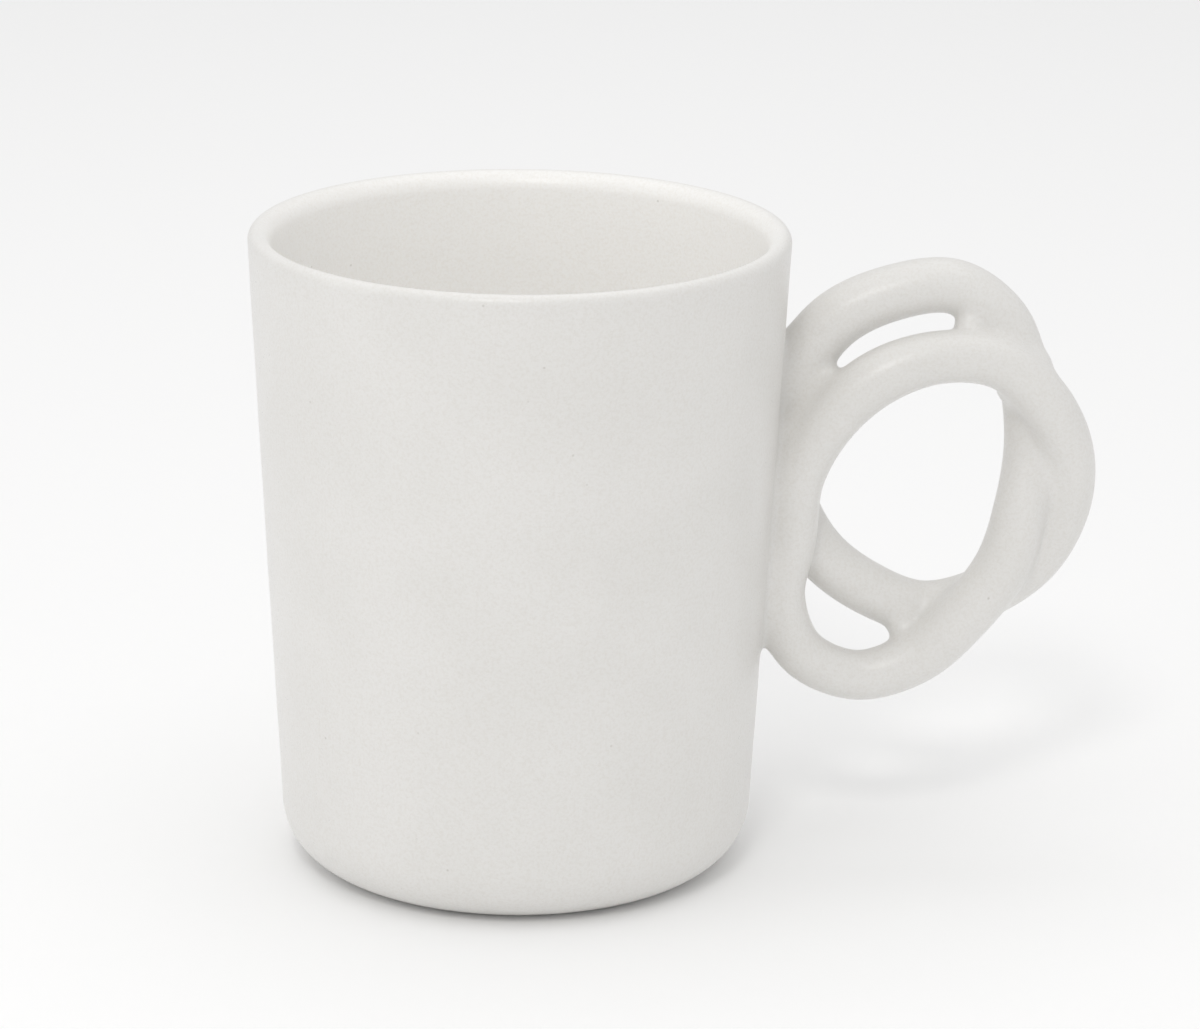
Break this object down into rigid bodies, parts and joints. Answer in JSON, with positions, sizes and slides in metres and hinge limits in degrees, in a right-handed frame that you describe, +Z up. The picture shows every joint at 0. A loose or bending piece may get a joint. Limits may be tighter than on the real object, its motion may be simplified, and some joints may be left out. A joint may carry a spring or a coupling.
{
  "type": "ceramic mug",
  "caption": "Tapered cylindrical ceramic mug with a rounded heel, a soft rolled lip and a side handle looped from one rope of clay laid in two crossing turns.",
  "frame": {"origin": "centre of the foot, on the table plane", "axes": "+Z up out of the cup's mouth, +X from the cup's axis out through the handle, -Y the front, towards which the wide turn of the handle's top lies"},
  "size_m": [0.1313, 0.0824, 0.1],
  "materials": {
    "satin_glaze": "satin"
  },
  "bodies": {
    "root": {"cup_body": "satin_glaze", "tall_coil": "satin_glaze", "wide_coil": "satin_glaze", "slip_seam_wall_front": "satin_glaze", "slip_seam_wall_back": "satin_glaze", "slip_seam_coils_front": "satin_glaze", "slip_seam_coils_back": "satin_glaze", "slip_seam_coils_inner": "satin_glaze"}
  },
  "joints": []
}
